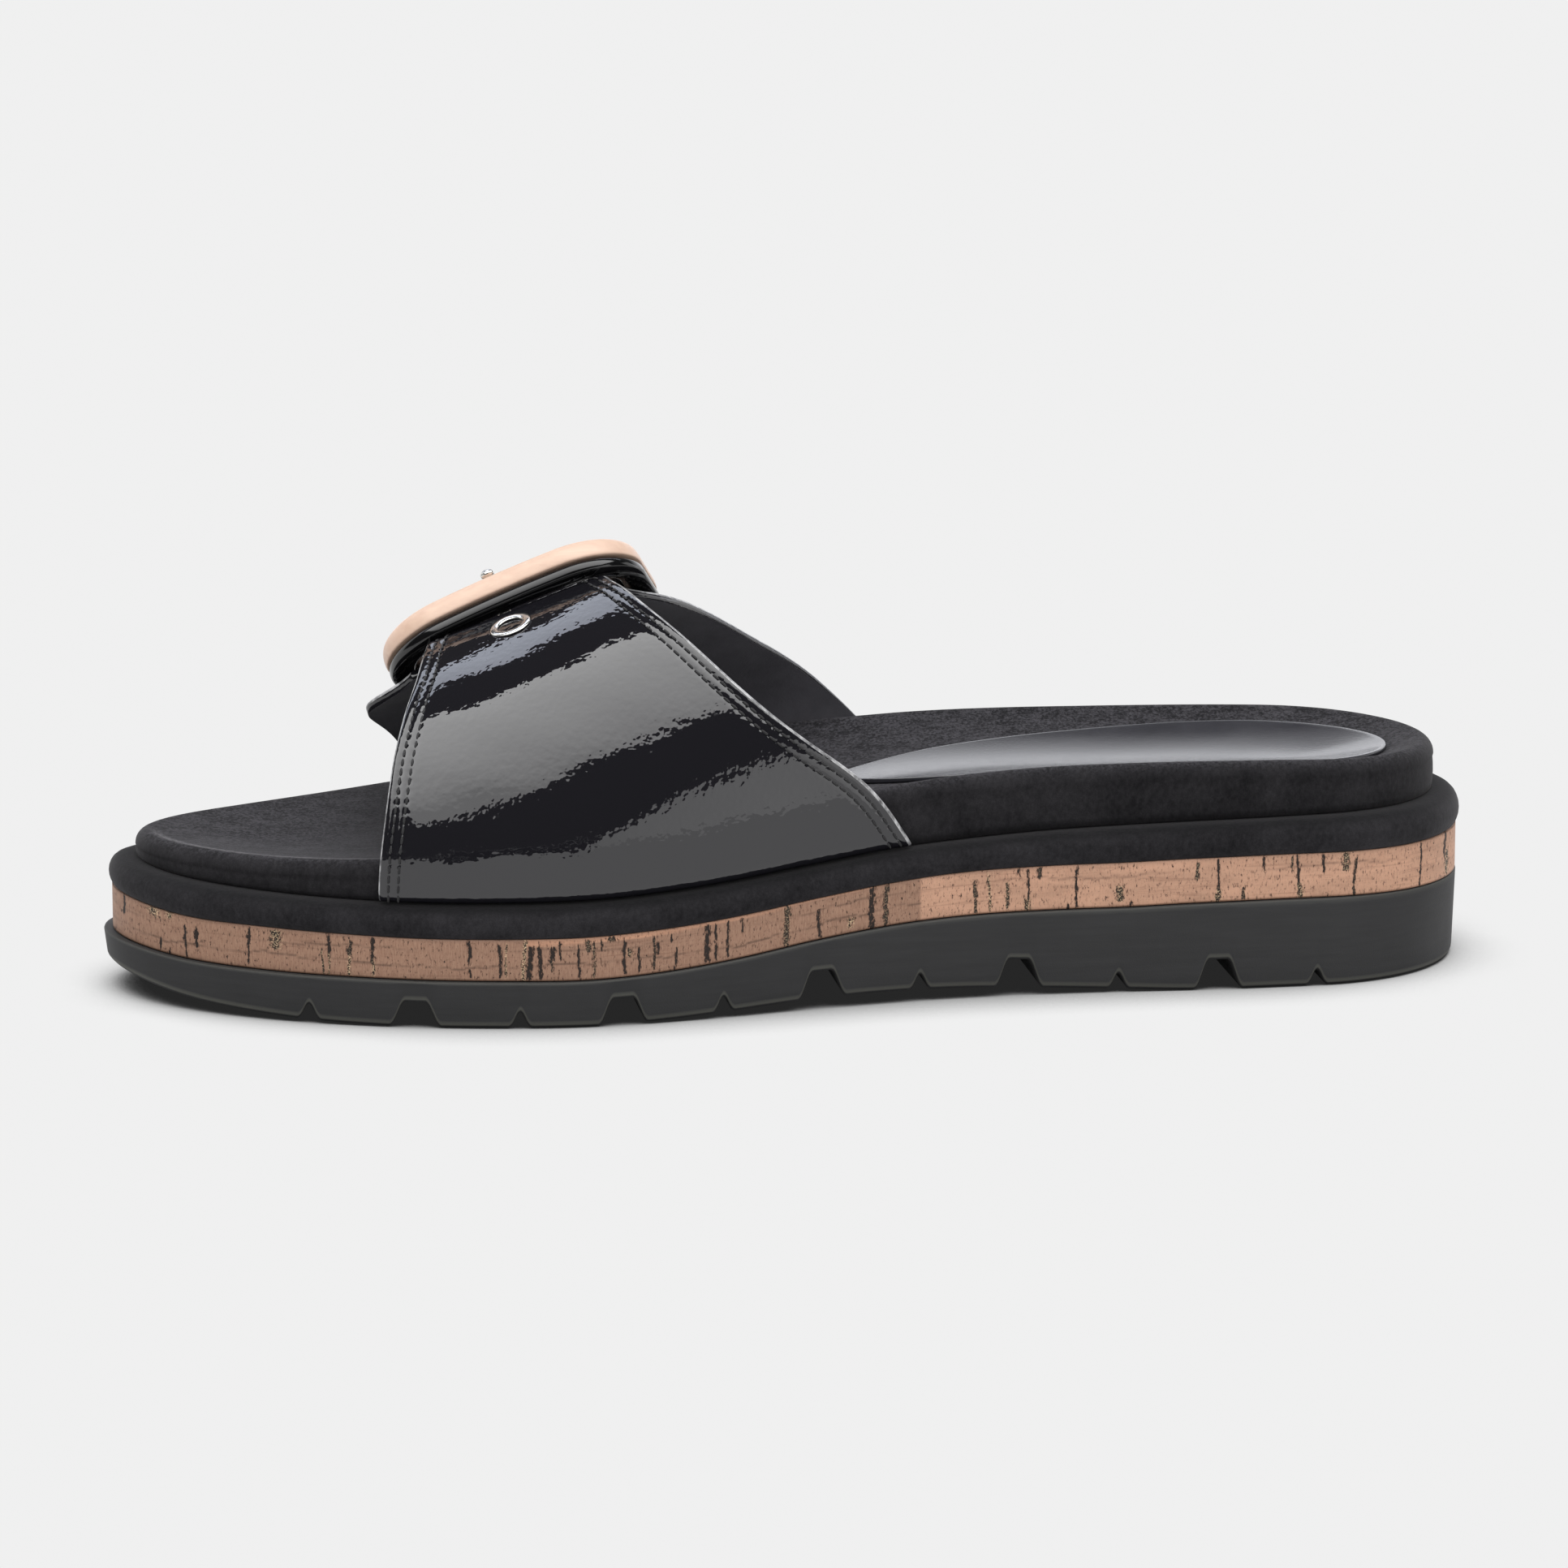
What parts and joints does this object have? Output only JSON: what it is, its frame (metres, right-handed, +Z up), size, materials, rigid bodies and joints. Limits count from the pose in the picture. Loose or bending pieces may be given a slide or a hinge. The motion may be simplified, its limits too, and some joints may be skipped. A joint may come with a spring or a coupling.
{
  "type": "slide mule",
  "caption": "Backless one-strap slide with an open toe, a patent strap under a large rounded buckle frame, a cupped footbed, a cork side band and a grooved wedge sole.",
  "frame": {"origin": "on the floor, under the middle of the shoe's length and width", "axes": "+X from toe to heel, +Y towards the outer side of the foot, +Z up"},
  "size_m": [0.2653, 0.0978, 0.085],
  "materials": {
    "rubber": "matte moulded",
    "cork": "sealed cork sheet, satin",
    "microfibre": "brushed nap, matte",
    "pad_leather": "fine grain, satin",
    "patent_leather": "patent, glossy",
    "black_gloss": "polished",
    "beige_gloss": "satin gloss",
    "bright_metal": "bright plated"
  },
  "bodies": {
    "root": {"outsole": "rubber", "cork_band": "cork", "platform_wrap": "microfibre", "footbed": "microfibre", "heel_pad": "pad_leather", "upper": "patent_leather", "buckle_base": "black_gloss", "buckle_face": "beige_gloss", "buckle_prong": "bright_metal", "eyelet": "bright_metal"}
  },
  "joints": []
}
